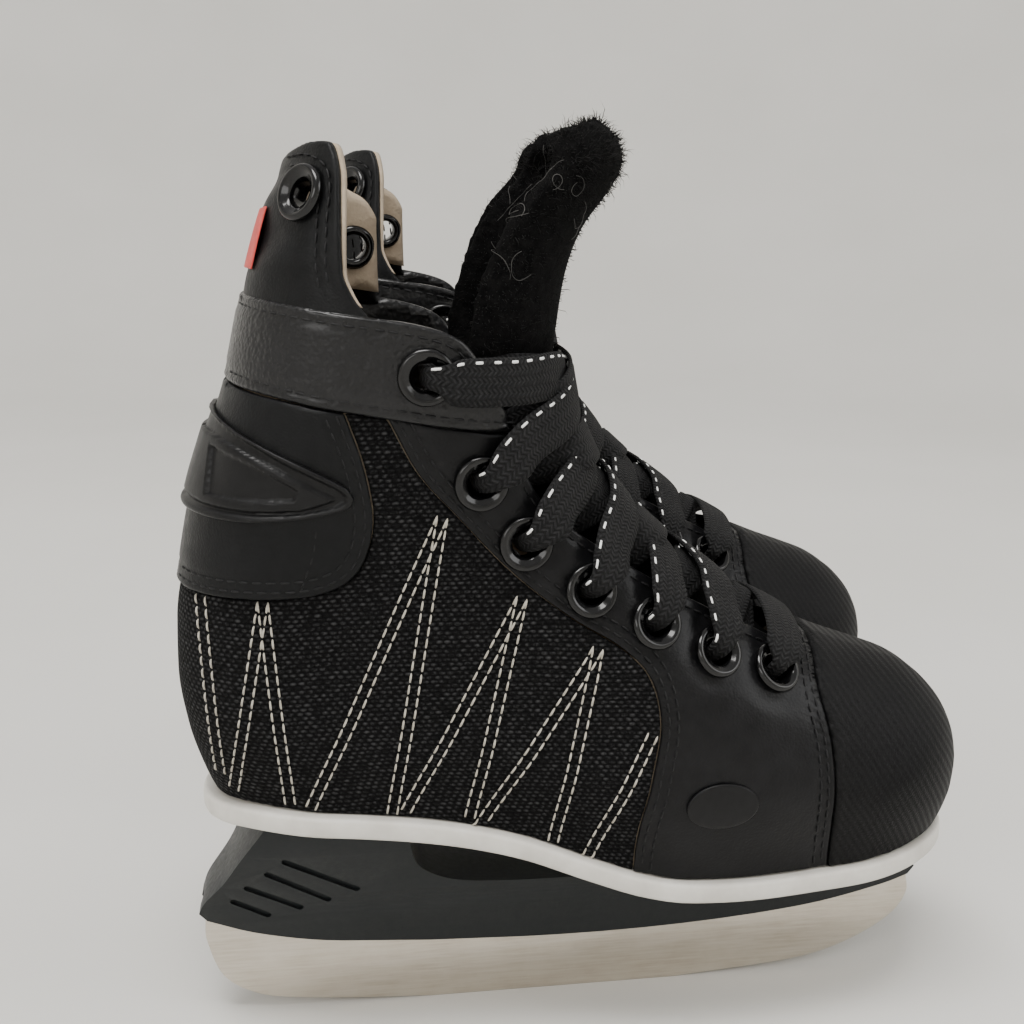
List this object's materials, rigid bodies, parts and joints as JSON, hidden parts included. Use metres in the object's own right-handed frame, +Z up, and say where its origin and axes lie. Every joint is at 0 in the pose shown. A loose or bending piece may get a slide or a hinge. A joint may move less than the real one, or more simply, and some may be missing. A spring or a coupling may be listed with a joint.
{
  "type": "pair of hockey skates",
  "caption": "Child's lace-up hockey skates as a pair: padded boots with eyelets, threaded laces, hinged tongue and tendon guard, plastic blade holders and steel runners.",
  "frame": {"origin": "on the ice, under the centre of the pair's bounding box", "axes": "+Z up from the blades' edges, +X towards the toes, +Y from the right skate to the left skate"},
  "size_m": [0.2094, 0.1744, 0.2153],
  "materials": {
    "black_leather": "smooth semi-gloss",
    "tan_lining": "matt",
    "insole_board": "matt",
    "woven_fabric": "coarse weave",
    "sole_white": "satin",
    "holder_plastic": "satin",
    "runner_steel": "satin",
    "tongue_pile": "pile",
    "lace_cord": "woven",
    "toe_rubber": "textured",
    "badge_rubber": "moulded",
    "eyelet_gloss": "gloss"
  },
  "bodies": {
    "right_skate": {"right_lining_heel": "tan_lining", "right_lining_outer": "tan_lining", "right_lining_inner": "tan_lining", "right_insole": "insole_board", "right_ankle_band": "black_leather", "right_heel_counter": "black_leather", "right_heel_badge": "badge_rubber", "right_side_fabric": "woven_fabric", "right_vamp_outer": "black_leather", "right_vamp_inner": "black_leather", "right_toe_cap": "toe_rubber", "right_emblem_outer": "black_leather", "right_emblem_inner": "black_leather", "right_sole": "sole_white", "right_blade_holder": "holder_plastic", "right_blade": "runner_steel", "right_tongue_base": "tongue_pile", "right_lace": "lace_cord", "right_eyelet_1": "eyelet_gloss", "right_eyelet_2": "eyelet_gloss", "right_eyelet_3": "eyelet_gloss", "right_eyelet_4": "eyelet_gloss", "right_eyelet_5": "eyelet_gloss", "right_eyelet_6": "eyelet_gloss", "right_eyelet_7": "eyelet_gloss"},
    "right_tongue": {"right_tongue_top": "tongue_pile"},
    "right_guard": {"right_guard_shell": "black_leather", "right_guard_lining": "tan_lining", "right_eyelet_0": "eyelet_gloss", "right_eyelet_0_inner": "eyelet_gloss"},
    "left_skate": {"left_lining_heel": "tan_lining", "left_lining_outer": "tan_lining", "left_lining_inner": "tan_lining", "left_insole": "insole_board", "left_ankle_band": "black_leather", "left_heel_counter": "black_leather", "left_heel_badge": "badge_rubber", "left_side_fabric": "woven_fabric", "left_vamp_outer": "black_leather", "left_vamp_inner": "black_leather", "left_toe_cap": "toe_rubber", "left_emblem_outer": "black_leather", "left_emblem_inner": "black_leather", "left_sole": "sole_white", "left_blade_holder": "holder_plastic", "left_blade": "runner_steel", "left_tongue_base": "tongue_pile", "left_lace": "lace_cord", "left_eyelet_1": "eyelet_gloss", "left_eyelet_2": "eyelet_gloss", "left_eyelet_3": "eyelet_gloss", "left_eyelet_4": "eyelet_gloss", "left_eyelet_5": "eyelet_gloss", "left_eyelet_6": "eyelet_gloss", "left_eyelet_7": "eyelet_gloss"},
    "left_tongue": {"left_tongue_top": "tongue_pile"},
    "left_guard": {"left_guard_shell": "black_leather", "left_guard_lining": "tan_lining", "left_eyelet_0": "eyelet_gloss", "left_eyelet_0_outer": "eyelet_gloss"}
  },
  "joints": [
    {"name": "right_tongue_flex", "type": "hinge", "parent": "right_skate", "child": "right_tongue", "pos_m": [-0.0148, -0.052, 0.167], "axis": [0, 1, 0], "range_deg": [-6, 30]},
    {"name": "right_guard_flex", "type": "hinge", "parent": "right_skate", "child": "right_guard", "pos_m": [-0.0874, -0.052, 0.1814], "axis": [0, -1, 0], "range_deg": [0, 20], "stiffness_Nm_per_rad": 0.06},
    {"name": "left_tongue_flex", "type": "hinge", "parent": "left_skate", "child": "left_tongue", "pos_m": [-0.0018, 0.052, 0.167], "axis": [0, 1, 0], "range_deg": [-6, 30]},
    {"name": "left_guard_flex", "type": "hinge", "parent": "left_skate", "child": "left_guard", "pos_m": [-0.0744, 0.052, 0.1814], "axis": [0, -1, 0], "range_deg": [0, 20], "stiffness_Nm_per_rad": 0.06},
    {"name": "left_skate_lift", "type": "slide", "parent": "right_skate", "child": "left_skate", "axis": [0, 0, 1], "range_m": [0, 0.25]}
  ]
}
